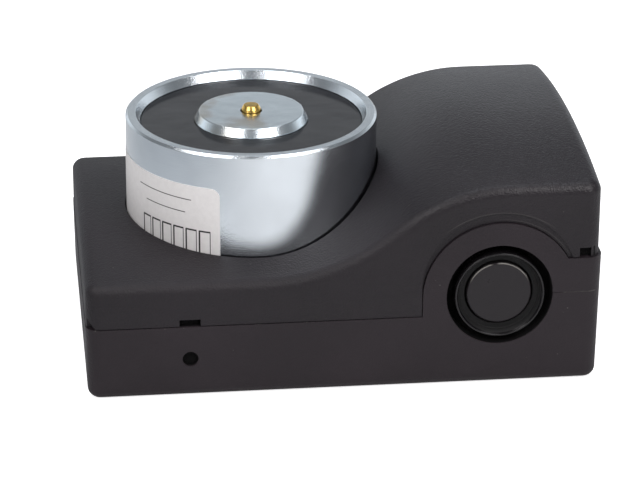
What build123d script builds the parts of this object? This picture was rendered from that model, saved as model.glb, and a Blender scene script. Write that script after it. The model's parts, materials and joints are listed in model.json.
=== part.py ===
from build123d import *
import math
import os

# Wall-mounted holding electromagnet with a release button, lying on its back.
# Millimetres. +Z is the way the magnet faces, -Y is the button's side, and the
# origin is the middle of the flat back.

# Housing
end_room = 11.25
side_room = 10.75
button_from_magnet = 49.6
button_from_end = 22.15
wall = 2.5
floor_thickness = 3.0
corner_radius = 3.2
floor_edge_radius = 2.2
top_edge_radius = 2.4
base_draft = 0.8
low_split = 16.45
high_split = 28.8
cover_step = 0.3
cover_end_step = 0.6
parting_gap = 0.15

# Swooping top of the cover
low_top = 29.1
high_top = 48.6
low_crown = 3.2
high_crown = 3.4
foot_from_axis = -0.9
foot_radius = 43.0
crest_radius = 39.0
swoop_sections = 24

# Magnet
face_height = 50.4
pot_wall = 3.2
pot_floor = 6.0
rim_chamfer = 0.5
rim_bevel_width = 1.0
rim_bevel_depth = 1.8
pole_radius = 12.4
pole_bevel_width = 1.0
pole_bevel_depth = 1.8
spigot_radius = 6.0
resin_drop = 2.0
resin_depth = 2.4
cover_gap = 0.5
fit_gap = 0.05

# Coil
coil_room = 11.9
bobbin_wall = 1.2
bobbin_gap = 0.3
winding_drop = 1.2

# Ejector pin and its spring
pin_radius = 2.1
pin_hole_gap = 0.3
pin_reach = 1.4
pin_flat_share = 0.7
pin_nose_share = 0.32
pin_collar_radius = 3.6
pin_collar_height = 2.0
pin_guide_length = 8.0
collar_gap = 0.4
plug_length = 5.0
plug_slot_depth = 1.4
pin_spring_wire = 0.8
pin_spring_turns = 8

# Bracket under the pot
plate_rise = 5.0
plate_thickness = 2.0
plate_width = 34.0
plate_clearance = 0.8
plate_flange = 2.0
plate_corner = 4.0
plate_screw_x = 11.0
plate_screw_from_edge = 3.5
pot_screw_offset = 18.0
pot_screw_radius = 2.0
pot_screw_reach = 4.5
pot_sink_share = 0.9
screw_radius = 1.5
screw_head_radius = 2.9
screw_head_height = 1.6
cross_slot = 0.7
cross_span = 3.2
screw_hole_gap = 0.3
screw_end_gap = 0.5
pillar_radius = 3.5

# Release button
button_height = 21.0
recess_radius = 11.45
recess_depth = 4.0
arch_radius = 16.5
relief_radius = 16.7
relief_rise = 2.0
relief_depth = 0.35
bezel_radius = 9.7
bezel_edge = 0.9
bezel_mouth_radius = 8.6
bezel_mouth_depth = 1.8
barrel_radius = 8.5
barrel_length = 27.0
cap_radius = 7.0
cap_drop = 1.2
cap_depth = 5.8
cap_edge = 0.4
cap_wall = 1.2
cap_face = 1.6
cap_gap = 0.3
button_travel = 2.5
stem_radius = 1.6
spigot_share = 0.6
guide_depth = 13.0
guide_thickness = 2.0
contact_thickness = 0.8
contact_width = 3.0
contact_tip = 3.2
contact_offset = 6.3
contact_depth = 16.5
contact_pad = 3.0
contact_pad_drop = 1.2
tag_reach = 6.0
tag_hole_radius = 0.7
tag_hole_from_end = 2.0
bridge_thickness = 0.6
bridge_half_length = 5.0
bridge_width = 4.0
bridge_corner = 1.0
bridge_gap = 0.1
base_disc_thickness = 3.0
button_spring_wire = 0.5
button_spring_radius = 2.4
button_spring_turns = 4
nut_across = 22.0
nut_height = 4.0
washer_radius = 11.0
washer_thickness = 1.0

# Board and terminals in the switch bay
board_thickness = 1.6
board_rise = 5.0
board_width = 16.0
board_length = 31.0
board_corner = 1.0
board_from_pot = 6.5
board_from_wall = 1.75
board_screw_inset = 3.0
terminal_from_edge = 1.0
terminal_ways = 4
terminal_pitch = 5.0
terminal_depth = 8.0
terminal_height = 10.0
terminal_wall = 0.8
terminal_mouth_rise = 1.0
terminal_back = 1.5
terminal_screw_drop = 0.8
terminal_edge = 1.2
clamp_wall = 0.6
clamp_share = 2.4
mouth_share = 2.6
screw_slot = 0.6
screw_slot_depth = 0.8
diode_radius = 1.35
diode_length = 5.0
diode_lead_radius = 0.4
diode_span = 11.0
diode_from_front = 19.0
diode_from_edge = 1.2

# Leads
lead_radius = 0.8
lead_hole_radius = 2.2
lead_from_bore = 5.3
lead_angle = 50.0
lead_pitch = 2.0
lead_spread = 1.4
lead_bow = 4.0
lead_bend = 3.5
lead_bend_share = 0.45
coil_lead_x = 2.2
coil_lead_y = 8.2
switch_lead_x = (7.5, 13.0)
switch_lead_y = 2.5

# Cable entry and wall fixings
entry_from_end = 14.25
entry_from_side = 20.25
entry_radius = 8.0
grommet_flange = 1.5
grommet_flange_height = 1.2
grommet_bore_radius = 3.0
fixing_from_end = 7.75
fixing_from_side = 8.25
fixing_hole_radius = 2.25

# Small features of the mouldings
catch_from_magnet = 16.5
catch_height = 8.95
catch_hole_radius = 1.7
catch_width = 9.0
catch_thickness = 1.8
pry_width = 4.5
pry_height = 1.5
pry_depth = 1.2
end_notch_width = 2.5
end_notch_height = 2.1
end_notch_from_end = 2.65
corner_notch_width = 2.0
corner_notch_height = 2.6
mould_line = 0.2

# Label on the pot
label_thickness = 0.12
label_below_rim = 7.8
label_height = 22.0
label_from_angle = 150.0
label_to_angle = 250.8
label_corner = 2.0

# Places worked out from the sizes above
pot_bore = pole_radius + coil_room
pot_radius = pot_bore + pot_wall
box_length = pot_radius + end_room + button_from_magnet + button_from_end
box_width = 2 * (pot_radius + side_room)
half_length = box_length / 2
half_width = box_width / 2
magnet_x = pot_radius + end_room - half_length
button_x = half_length - button_from_end
foot_x = magnet_x + foot_from_axis
swoop_turn = math.acos(1 - (high_top - low_top) / (foot_radius + crest_radius))
joint_x = foot_x + foot_radius * math.sin(swoop_turn)
crest_x = joint_x + crest_radius * math.sin(swoop_turn)
catch_x = magnet_x - catch_from_magnet
catch_y = half_width - wall - parting_gap
plate_length = 2 * (catch_y - catch_thickness - plate_clearance)
plate_screw_y = plate_length / 2 - plate_screw_from_edge
plate_bottom = floor_thickness + plate_rise
pot_bottom = plate_bottom + plate_thickness
pot_inside = pot_bottom + pot_floor
resin_top = face_height - resin_drop
resin_bottom = resin_top - resin_depth
lead_circle = pot_bore - lead_from_bore
fixing_x = half_length - fixing_from_end
fixing_y = half_width - fixing_from_side
entry_x = half_length - entry_from_end
entry_y = half_width - entry_from_side
board_left = magnet_x + pot_radius + board_from_pot
board_front = half_width - wall - board_from_wall - board_length
board_bottom = floor_thickness + board_rise
board_top = board_bottom + board_thickness
STAND = (Align.CENTER, Align.CENTER, Align.MIN)

magnet = Pos(magnet_x, 0, 0)
switch = Plane(origin=(button_x, -half_width, button_height), x_dir=(1, 0, 0), z_dir=(0, 1, 0))


def disc(radius, low, high):
    """A round bar about Z between two heights."""
    return Pos(0, 0, low) * Cylinder(radius, high - low, align=STAND)


def ring(outer, inner, low, high):
    """A tube about Z between two heights."""
    return disc(outer, low, high) - disc(inner, low, high)


def block(x_range, y_range, z_range):
    """A box given by its limits along X, Y and Z."""
    sizes = [high - low for low, high in (x_range, y_range, z_range)]
    middle = [(high + low) / 2 for low, high in (x_range, y_range, z_range)]
    return Pos(*middle) * Box(*sizes)


def turned(points):
    """A solid turned about Z from (radius, height) corners."""
    face = make_face(Polyline(*[(r, 0, z) for r, z in points], close=True))
    return revolve(face, Axis.Z)


def coil_spring(coil_radius, wire, length, turns):
    """A compression spring from z = 0 to its length, closed to its wire at both ends."""
    rise = length - wire
    path = Helix(pitch=rise / turns, height=rise, radius=coil_radius)
    start = path @ 0
    section = Plane(origin=start, x_dir=(1, 0, 0), z_dir=path % 0) * RegularPolygon(wire / 2, 6)
    return Pos(0, 0, wire / 2) * sweep(section, path, is_frenet=True)


def lead(points, radius):
    """An insulated lead along straight runs joined by arcs that the runs leave room for."""
    vectors = [Vector(*p) for p in points]
    radii = []
    for before, corner, after in zip(vectors, vectors[1:], vectors[2:]):
        runs = (corner - before, after - corner)
        turn = math.radians(runs[0].get_angle(runs[1]))
        room = lead_bend_share * min(run.length for run in runs) / math.tan(turn / 2)
        radii.append(min(lead_bend, room))
    path = FilletPolyline(*points, radius=radii)
    return sweep(Plane(origin=path @ 0, z_dir=path % 0) * Circle(radius), path)


# Height of the cover's top along X, at the middle of its width


def swoop_height(x):
    """Two tangent arcs, hollow at the magnet and round at the crest, between two flats."""
    if x <= foot_x:
        return low_top
    if x <= joint_x:
        return low_top + foot_radius - math.sqrt(foot_radius**2 - (x - foot_x) ** 2)
    if x <= crest_x:
        return high_top - crest_radius + math.sqrt(crest_radius**2 - (x - crest_x) ** 2)
    return high_top


def swoop_section(x, inset, drop):
    """Cross-section at x: straight sides and a top that crowns more as it rises."""
    apex = swoop_height(x)
    share = (apex - low_top) / (high_top - low_top)
    crown = low_crown + share * (high_crown - low_crown)
    side = half_width - inset
    edge = apex - crown - drop
    top = ThreePointArc((x, -side, edge), (x, 0, apex - drop), (x, side, edge))
    rest = Polyline((x, side, edge), (x, side, 0), (x, -side, 0), (x, -side, edge))
    return make_face([top, rest])


def swoop_solid(inset, end_inset, drop, corner):
    """The cover's full form down to the floor, with rounded upright corners."""
    places = [k * box_length / swoop_sections - half_length for k in range(swoop_sections + 1)]
    body = loft([swoop_section(x, inset, drop) for x in places])
    plan_left = -half_length + inset
    plan_right = half_length - end_inset
    plan = RectangleRounded(plan_right - plan_left, box_width - 2 * inset, corner)
    prism = Pos((plan_left + plan_right) / 2, 0, 0) * extrude(plan, face_height)
    return body & prism


def base_region(gap, reach):
    """Everything under the parting line: an arch round the button, a plain step behind."""
    low = low_split + gap
    high = high_split + gap
    radius = arch_radius + gap
    right_x = button_x + math.sqrt(radius**2 - (high - button_height) ** 2)
    left_x = button_x - radius
    with_arch = [
        Polyline((reach, 0, high), (reach, 0, -reach), (-reach, 0, -reach), (-reach, 0, low), (left_x, 0, low)),
        Line((left_x, 0, low), (left_x, 0, button_height)),
        ThreePointArc(
            (left_x, 0, button_height),
            (button_x, 0, button_height + radius),
            (right_x, 0, high),
        ),
        Line((right_x, 0, high), (reach, 0, high)),
    ]
    plain = Polyline(
        (reach, 0, high), (reach, 0, -reach), (-reach, 0, -reach),
        (-reach, 0, low), (left_x, 0, low), (left_x, 0, high), close=True,
    )
    front = extrude(make_face(with_arch), reach, dir=(0, -1, 0))
    back = extrude(make_face(plain), reach, dir=(0, 1, 0))
    return front + back


def fixing_places():
    """Centres of the four wall-screw holes."""
    return [(sx * fixing_x, sy * fixing_y) for sx in (-1, 1) for sy in (-1, 1)]


def plate_screw_places():
    """Centres of the bracket's four screws."""
    return [
        (magnet_x + sx * plate_screw_x, sy * plate_screw_y)
        for sx in (-1, 1)
        for sy in (-1, 1)
    ]


def board_screw_places():
    """Centres of the board's two screws, at the corners of its left edge."""
    x = board_left + board_screw_inset
    return [
        (x, board_front + board_screw_inset),
        (x, board_front + board_length - board_screw_inset),
    ]


def lead_hole_place():
    """Centre of the hole that the coil's leads take through pot floor and bracket."""
    angle = math.radians(lead_angle)
    return (magnet_x + lead_circle * math.cos(angle), lead_circle * math.sin(angle))


def make_base_box():
    """Lower moulding: drafted walls, button arch, pillars, wall holes and cable entry."""
    top = Plane(origin=(0, 0, high_split), z_dir=(0, 0, -1))
    outer = extrude(top * RectangleRounded(box_length, box_width, corner_radius), high_split, taper=base_draft)
    outer = fillet(outer.edges().group_by(Axis.Z)[0], floor_edge_radius)
    arch = switch * disc(arch_radius, 0, 2 * wall)
    above_split = Pos(0, 0, high_split) * extrude(Rectangle(2 * box_length, 2 * box_width), face_height)
    outer = outer + (arch & above_split)
    hollow_plan = RectangleRounded(box_length - 2 * wall, box_width - 2 * wall, corner_radius - wall / 2)
    hollow = Pos(0, 0, floor_thickness) * extrude(hollow_plan, face_height)
    base = (outer - hollow) & base_region(0.0, box_length)
    base += switch * disc(recess_radius + wall, wall - fit_gap, recess_depth + wall)
    base -= switch * disc(recess_radius, -wall, recess_depth)
    base -= switch * disc(barrel_radius + fit_gap, 0, box_width / 2)
    for x, y in plate_screw_places():
        base += Pos(x, y, 0) * disc(pillar_radius, floor_thickness - 1, plate_bottom)
        base -= Pos(x, y, 0) * disc(screw_radius + fit_gap, floor_thickness / 2, plate_bottom)
    for x, y in board_screw_places():
        base += Pos(x, y, 0) * disc(pillar_radius, floor_thickness - 1, board_bottom)
        base -= Pos(x, y, 0) * disc(screw_radius + fit_gap, floor_thickness / 2, board_bottom)
    for x, y in fixing_places():
        base -= Pos(x, y, 0) * disc(fixing_hole_radius, -1, floor_thickness + 1)
    entry = Pos(entry_x, entry_y, 0)
    base -= entry * disc(entry_radius, -1, floor_thickness + 1)
    base -= entry * disc(entry_radius + grommet_flange + fit_gap, -1, grommet_flange_height + fit_gap)
    for side in (-1, 1):
        hole = Cylinder(catch_hole_radius, 4 * wall, rotation=(90, 0, 0))
        base -= Pos(catch_x, side * half_width, catch_height) * hole
    line_top = button_height + mould_line / 2
    base -= block(
        (button_x + recess_radius - mould_line, half_length), (-half_width - 1, mould_line - half_width),
        (line_top - mould_line, line_top),
    )
    return base


def make_cover():
    """Upper moulding: crowned shell with the pot's hole, two catches and an end tongue."""
    outer = swoop_solid(cover_step, cover_end_step, 0.0, corner_radius)
    rim = [e for e in outer.edges() if e.bounding_box().min.Z > low_split]
    outer = fillet(rim, top_edge_radius)
    inner = swoop_solid(cover_step + wall, cover_end_step + wall, wall, corner_radius - wall / 2)
    shell = outer - inner - base_region(parting_gap, box_length)
    shell -= magnet * disc(pot_radius + cover_gap, 0, 2 * face_height)
    catch_side = (catch_x - catch_width / 2, catch_x + catch_width / 2)
    for side in (-1, 1):
        tab = block(catch_side, (catch_y - catch_thickness, catch_y), (floor_thickness + 1, low_split + wall))
        root_z = (low_split + parting_gap, low_split + 2 * wall)
        tab += block(catch_side, (catch_y - catch_thickness, catch_y + wall / 2), root_z)
        nub = Cylinder(catch_hole_radius - 2 * fit_gap, wall, rotation=(90, 0, 0))
        tab += Pos(catch_x, catch_y, catch_height) * nub
        shell += tab if side > 0 else mirror(tab, about=Plane.XZ)
    end_x = half_length - wall - parting_gap
    tongue_y = (-box_width / 5, box_width / 5)
    tongue = block((end_x - catch_thickness, end_x), tongue_y, (high_split - 2 * wall, high_split + wall))
    root_z = (high_split + parting_gap, high_split + wall)
    tongue += block((end_x - catch_thickness, end_x + wall / 2), tongue_y, root_z)
    shell += tongue
    front = (-half_width - 1, -half_width + cover_step + pry_depth)
    pry_side = (catch_x - pry_width / 2, catch_x + pry_width / 2)
    shell -= block(pry_side, front, (low_split, low_split + parting_gap + pry_height))
    notch_right = half_length - end_notch_from_end
    notch_side = (notch_right - end_notch_width, notch_right)
    shell -= block(notch_side, front, (high_split, high_split + parting_gap + end_notch_height))
    wedge = make_face(
        Polyline(
            (-half_length - 1, 0, low_split), (-half_length + cover_step + corner_notch_width, 0, low_split),
            (-half_length + cover_step, 0, low_split + corner_notch_height),
            (-half_length - 1, 0, low_split + corner_notch_height), close=True,
        )
    )
    wedge_depth = cover_step + corner_notch_width + 1
    shell -= Pos(0, wedge_depth - half_width - 1, 0) * extrude(wedge, wedge_depth, dir=(0, -1, 0))
    shell -= switch * Pos(0, -relief_rise, 0) * disc(relief_radius, -1, cover_step + relief_depth)
    return shell


def make_magnet_pot():
    """Turned cup with a bevelled rim, two tapped holes, a spigot hole and a lead hole."""
    c = rim_chamfer
    pot = turned(
        [
            (spigot_radius + fit_gap, pot_bottom),
            (pot_radius - c, pot_bottom),
            (pot_radius, pot_bottom + c),
            (pot_radius, face_height - c),
            (pot_radius - c, face_height),
            (pot_bore + rim_bevel_width, face_height),
            (pot_bore, face_height - rim_bevel_depth),
            (pot_bore, pot_inside),
            (spigot_radius + fit_gap, pot_inside),
        ]
    )
    pot = magnet * pot
    for side in (-1, 1):
        pot -= Pos(magnet_x, side * pot_screw_offset, 0) * disc(
            pot_screw_radius + fit_gap, pot_bottom - 1, pot_bottom + pot_screw_reach + screw_end_gap
        )
    x, y = lead_hole_place()
    return pot - Pos(x, y, 0) * disc(lead_hole_radius, pot_bottom - 1, pot_inside + 1)


def make_centre_pole():
    """Turned core: bevelled face, riveted spigot, stepped bore for pin, spring and plug."""
    guide = pin_radius + pin_hole_gap
    bore = pin_collar_radius + collar_gap
    return magnet * turned(
        [
            (bore, pot_bottom),
            (spigot_radius, pot_bottom),
            (spigot_radius, pot_inside),
            (pole_radius, pot_inside),
            (pole_radius, face_height - pole_bevel_depth),
            (pole_radius - pole_bevel_width, face_height),
            (guide, face_height),
            (guide, face_height - pin_guide_length),
            (bore, face_height - pin_guide_length),
        ]
    )


def make_potting_resin():
    """Cast ring that seals the coil, a little under the rim."""
    return magnet * ring(pot_bore - fit_gap, pole_radius + fit_gap, resin_bottom, resin_top)


def make_coil_bobbin():
    """Moulded spool between pot floor and resin, notched where the leads pass."""
    inner = pole_radius + bobbin_gap
    spool = ring(inner + bobbin_wall, inner, pot_inside, resin_bottom)
    for low in (pot_inside, resin_bottom - bobbin_wall):
        spool += ring(pot_bore - bobbin_gap, inner, low, low + bobbin_wall)
    spool = magnet * spool
    x, y = lead_hole_place()
    return spool - Pos(x, y, 0) * disc(lead_hole_radius, pot_inside - 1, pot_inside + bobbin_wall + 1)


def make_coil_winding():
    """The wound copper, one solid between the bobbin's flanges."""
    inner = pole_radius + bobbin_gap + bobbin_wall + fit_gap
    outer = pot_bore - bobbin_gap - winding_drop
    low = pot_inside + bobbin_wall + fit_gap
    high = resin_bottom - bobbin_wall - fit_gap
    return magnet * ring(outer, inner, low, high)


def collar_top():
    """Height of the step in the pole's bore that stops the pin."""
    return face_height - pin_guide_length


def make_ejector_pin():
    """Turned brass pin with a collar below and a rounded, flat-tipped end above."""
    top = face_height + pin_reach
    low = collar_top() - pin_collar_height
    flat = pin_flat_share * pin_radius
    nose_low = top - pin_nose_share * pin_radius
    side = Polyline(
        (flat, 0, top), (0, 0, top), (0, 0, low), (pin_collar_radius, 0, low),
        (pin_collar_radius, 0, collar_top()), (pin_radius, 0, collar_top()),
        (pin_radius, 0, nose_low),
    )
    half_way = math.sqrt(0.5)
    shoulder = (flat + half_way * (pin_radius - flat), 0, nose_low + half_way * (top - nose_low))
    nose = ThreePointArc((pin_radius, 0, nose_low), shoulder, (flat, 0, top))
    return magnet * revolve(make_face([side, nose]), Axis.Z)


def plug_top():
    """Height of the plug's upper face, where the spring stands."""
    return pot_bottom + plug_length


def make_ejector_spring():
    """Compression spring between the plug and the pin's collar."""
    length = collar_top() - pin_collar_height - plug_top()
    coil = pin_collar_radius - pin_spring_wire / 2
    spring = coil_spring(coil, pin_spring_wire, length - 2 * fit_gap, pin_spring_turns)
    return magnet * Pos(0, 0, plug_top() + fit_gap) * spring


def make_pin_plug():
    """Slotted plug that closes the pole's bore."""
    radius = pin_collar_radius + collar_gap - fit_gap
    plug = disc(radius, pot_bottom, plug_top())
    slot = Pos(0, 0, pot_bottom) * Box(4 * radius, 2 * screw_slot, 2 * plug_slot_depth)
    return magnet * (plug - slot)


def make_magnet_plate():
    """Pressed steel bracket with two folded edges, countersunk for the pot's screws."""
    plate = Pos(magnet_x, 0, plate_bottom) * extrude(
        RectangleRounded(plate_width, plate_length, plate_corner), plate_thickness
    )
    straight = plate_length / 2 - plate_corner
    for side in (-1, 1):
        edge = magnet_x + side * plate_width / 2
        x_range = sorted((edge, edge - side * plate_thickness))
        plate += block(x_range, (-straight, straight), (plate_bottom - plate_flange, plate_bottom))
    for x, y in plate_screw_places():
        plate -= Pos(x, y, 0) * disc(screw_radius + screw_hole_gap, 0, face_height)
        plate -= Pos(x, y, pot_bottom) * screw_cone(fit_gap)
    for side in (-1, 1):
        sink = Pos(magnet_x, side * pot_screw_offset, 0)
        plate -= sink * disc(pot_screw_radius + screw_hole_gap, 0, face_height)
        plate -= sink * turned(countersink(fit_gap))
    plate -= magnet * disc(spigot_radius, 0, face_height)
    x, y = lead_hole_place()
    return plate - Pos(x, y, 0) * disc(lead_hole_radius, 0, face_height)


def countersink(gap):
    """Corners of a countersunk head, wider by a gap, in the bracket's underside."""
    head = 2 * pot_screw_radius + gap
    high = plate_bottom + pot_sink_share * pot_screw_radius
    return [(0, plate_bottom), (head, plate_bottom), (pot_screw_radius + gap, high), (0, high)]


def make_pot_screws():
    """Two countersunk screws that draw the pot onto the bracket."""
    screw = turned(countersink(0.0))
    screw += disc(pot_screw_radius, plate_bottom + 1, pot_bottom + pot_screw_reach)
    slot = Box(5 * pot_screw_radius, 2 * screw_slot, 2 * screw_slot_depth)
    screw -= Pos(0, 0, plate_bottom) * slot
    return Compound(children=[Pos(magnet_x, s * pot_screw_offset, 0) * screw for s in (-1, 1)])


def screw_cone(gap):
    """A countersunk head below z = 0, wider by a gap."""
    low = -screw_head_height
    return turned([(0, 0), (screw_head_radius + gap, 0), (screw_radius + gap, low), (0, low)])


def cross_screw(head, top, tip):
    """A head with a cross slot in its top face, on a shank down to its tip."""
    screw = head + disc(screw_radius, tip, top - screw_head_height / 2)
    for size in ((cross_span, cross_slot), (cross_slot, cross_span)):
        screw -= Pos(0, 0, top) * Box(*size, screw_head_height)
    return screw


def make_plate_screws():
    """Four flush screws that hold the bracket on the base's pillars."""
    screw = cross_screw(Pos(0, 0, pot_bottom) * screw_cone(0.0), pot_bottom, floor_thickness)
    return Compound(children=[Pos(x, y, 0) * screw for x, y in plate_screw_places()])


def make_board_screws():
    """Two screws that hold the board on its pillars."""
    top = board_top + screw_head_height
    head = disc(screw_head_radius, board_top, top)
    head = chamfer(head.edges().group_by(Axis.Z)[-1], screw_head_height / 2)
    screw = cross_screw(head, top, floor_thickness)
    return Compound(children=[Pos(x, y, 0) * screw for x, y in board_screw_places()])


def make_pot_label():
    """Thin label that follows the pot's side, with rounded corners."""
    inner = pot_radius + fit_gap / 2
    outer = inner + label_thickness
    high = face_height - label_below_rim
    low = high - label_height
    sector = ring(outer, inner, low, high)
    reach = 2 * pot_radius
    span = label_to_angle - label_from_angle
    mask_arc = [
        (reach * math.cos(math.radians(label_from_angle + span * k / 4)),
         reach * math.sin(math.radians(label_from_angle + span * k / 4)))
        for k in range(5)
    ]
    mask = extrude(make_face(Polyline((0, 0), *mask_arc, close=True)), face_height)
    label = sector & mask
    upright = label.edges().filter_by(lambda e: abs(e.length - label_thickness) < 0.01)
    label = fillet(upright, label_corner)
    return magnet * label


def make_switch_body():
    """Bezel and threaded barrel in one moulding, with an inner web that guides the stem."""
    bore = cap_radius + cap_gap
    body = disc(bezel_radius, 0, recess_depth) + disc(barrel_radius, recess_depth, barrel_length)
    body = fillet(body.edges().group_by(Axis.Z)[0], bezel_edge)
    body -= disc(bezel_mouth_radius, -1, bezel_mouth_depth)
    body -= disc(bore, 0, barrel_length + 1)
    body += ring(bore + fit_gap, stem_radius + cap_gap, guide_depth, guide_depth + guide_thickness)
    return switch * body


def make_button_cap():
    """Round cap with a softened edge and the stem that carries the moving contact."""
    cap = disc(cap_radius, cap_drop, cap_drop + cap_depth)
    cap = fillet(cap.edges().group_by(Axis.Z)[0], cap_edge)
    cap -= ring(cap_radius - cap_wall, stem_radius + cap_wall, cap_drop + cap_face, cap_drop + cap_depth + 1)
    stem_end = contact_depth + contact_thickness + bridge_gap
    cap += disc(stem_radius, cap_drop + cap_depth - 1, stem_end)
    cap += disc(spigot_share * stem_radius, stem_end, stem_end + bridge_thickness + cap_wall)
    return switch * cap


def make_contact_bridge():
    """Moving contact on the stem's end, with a raised contact at each side."""
    low = contact_depth + contact_thickness + bridge_gap
    strip = block(
        (-bridge_half_length, bridge_half_length), (-bridge_width / 2, bridge_width / 2),
        (low, low + bridge_thickness),
    )
    strip = fillet(strip.edges().filter_by(Axis.Z), bridge_corner)
    return switch * (strip - disc(spigot_share * stem_radius + fit_gap, 0, barrel_length))


def make_button_spring():
    """Return spring between the switch's end disc and the moving contact."""
    low = contact_depth + contact_thickness + bridge_gap + bridge_thickness + fit_gap
    high = barrel_length - base_disc_thickness - fit_gap
    coil = button_spring_radius - button_spring_wire / 2
    return switch * Pos(0, 0, low) * coil_spring(coil, button_spring_wire, high - low, button_spring_turns)


def contact_strip(gap):
    """One fixed contact: an inward tip, a run along the bore and a solder tag behind."""
    half = contact_width / 2 + gap
    outer = contact_offset + contact_thickness / 2 + gap
    inner = contact_offset - contact_thickness / 2 - gap
    tag_end = barrel_length + tag_reach
    tip = block((contact_tip, outer), (-half, half), (contact_depth, contact_depth + contact_thickness))
    return tip + block((inner, outer), (-half, half), (contact_depth, tag_end))


def make_switch_contacts():
    """The two fixed contacts, one each side of the stem."""
    strip = contact_strip(0.0)
    strip -= block(
        (contact_tip - contact_pad, contact_tip + contact_pad), (-contact_width, contact_width),
        (contact_depth + contact_thickness, contact_depth + contact_thickness + contact_pad_drop),
    )
    tag_end = barrel_length + tag_reach
    eye = Cylinder(tag_hole_radius, contact_width, rotation=(0, 90, 0))
    strip -= Pos(contact_offset, 0, tag_end - tag_hole_from_end) * eye
    return Compound(children=[switch * strip, switch * Rot(0, 0, 180) * strip])


def make_switch_end():
    """Round insulator that closes the barrel and holds the contacts."""
    low = barrel_length - base_disc_thickness
    end = disc(cap_radius + cap_gap - fit_gap, low, barrel_length)
    for angle in (0, 180):
        end -= Rot(0, 0, angle) * contact_strip(fit_gap)
    return switch * end


def make_switch_washer():
    """Flat washer behind the wall of the recess."""
    low = recess_depth + wall
    return switch * ring(washer_radius, barrel_radius + fit_gap, low, low + washer_thickness)


def make_switch_nut():
    """Hexagonal nut that clamps the switch."""
    low = recess_depth + wall + washer_thickness
    nut = extrude(RegularPolygon(nut_across / 2, 6, major_radius=False), nut_height)
    nut = Pos(0, 0, low) * nut
    return switch * (nut - disc(barrel_radius + fit_gap, 0, barrel_length))


def make_circuit_board():
    """Small board with holes for its screws and every lead."""
    board = block(
        (board_left, board_left + board_width), (board_front, board_front + board_length),
        (board_bottom, board_top),
    )
    board = fillet(board.edges().filter_by(Axis.Z), board_corner)
    for x, y in board_screw_places():
        board -= Pos(x, y, 0) * disc(screw_radius + screw_hole_gap, 0, face_height)
    return board


def terminal_origin():
    """Right edge, front edge and foot of the terminal block."""
    right = board_left + board_width - terminal_from_edge
    length = terminal_ways * terminal_pitch
    front = board_front + (board_length - length) / 2
    return right, front


def terminal_centres():
    """Middle of each way along Y."""
    front = terminal_origin()[1]
    return [front + (way + 0.5) * terminal_pitch for way in range(terminal_ways)]


def make_terminal_block():
    """Moulded block with a wire mouth and a screw well for each way."""
    right, front = terminal_origin()
    length = terminal_ways * terminal_pitch
    high = board_top + terminal_height
    body = block((right - terminal_depth, right), (front, front + length), (board_top, high))
    body = fillet(body.edges().group_by(Axis.Z)[-1].filter_by(Axis.Y), terminal_edge)
    half = terminal_pitch / 2 - terminal_wall
    for y in terminal_centres():
        mouth = (right - terminal_depth + terminal_back, right + 1)
        mouth_z = (board_top + terminal_mouth_rise, board_top + terminal_mouth_rise + mouth_share * half)
        body -= block(mouth, (y - half, y + half), mouth_z)
        well = Pos(right - terminal_depth / 2, y, 0)
        body -= well * disc(half + fit_gap, board_top + 2 * terminal_mouth_rise, high + 1)
    return body


def make_terminal_clamps():
    """Square cages that rise as their screws are turned."""
    right = terminal_origin()[0]
    half = terminal_pitch / 2 - terminal_wall - fit_gap
    low = board_top + terminal_mouth_rise + fit_gap
    high = low + clamp_share * half
    centre = right - terminal_depth / 2
    cages = []
    for y in terminal_centres():
        cage = block((centre - half, centre + half), (y - half, y + half), (low, high))
        mouth = half - clamp_wall
        mouth_z = (low + clamp_wall, high - 2 * clamp_wall)
        cage -= block((centre - 2 * half, centre + 2 * half), (y - mouth, y + mouth), mouth_z)
        cages.append(cage)
    return Compound(children=cages)


def make_terminal_screws():
    """Slotted clamping screws, one in each well."""
    right = terminal_origin()[0]
    half = terminal_pitch / 2 - terminal_wall - fit_gap
    low = board_top + terminal_mouth_rise + clamp_share * half + 2 * fit_gap
    high = board_top + terminal_height - terminal_screw_drop
    screw = disc(half - fit_gap, low, high)
    screw -= Pos(0, 0, high) * Box(terminal_pitch, screw_slot, 2 * screw_slot_depth)
    places = [(right - terminal_depth / 2, y) for y in terminal_centres()]
    return Compound(children=[Pos(x, y, 0) * screw for x, y in places])


def make_surge_diode():
    """Diode that lies along the board, its two leads bent down to the copper."""
    x = board_left + diode_radius + diode_from_edge
    y = board_front + diode_from_front
    z = board_top + diode_radius
    body = Cylinder(diode_radius, diode_length, rotation=(90, 0, 0))
    body = chamfer(body.edges().filter_by(GeomType.CIRCLE), diode_lead_radius)
    body += Cylinder(diode_lead_radius, diode_span, rotation=(90, 0, 0))
    for end in (-1, 1):
        leg = disc(diode_lead_radius, -diode_radius, diode_lead_radius)
        body += Pos(0, end * (diode_span / 2 - diode_lead_radius), 0) * leg
    return Pos(x, y, z) * body


def make_coil_leads():
    """The coil's two leads, down through the pot, under the bracket and up to the board."""
    hole_x, hole_y = lead_hole_place()
    top = pot_inside + bobbin_wall
    under = floor_thickness + 2 * lead_radius
    land_x = board_left + coil_lead_x
    land_y = board_front + coil_lead_y
    rise_x = board_left - board_from_pot / 2
    leads = []
    for side in (-1, 1):
        y = hole_y + side * lead_pitch / 2
        spread = side * lead_spread
        points = [
            (hole_x, y, top),
            (hole_x, y, under),
            (rise_x, land_y + spread, under),
            (rise_x, land_y + spread, board_top + lead_bow),
            (land_x, land_y + spread, board_top + lead_bow),
            (land_x, land_y + spread, board_top),
        ]
        leads.append(lead(points, lead_radius))
    return Compound(children=leads)


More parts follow.
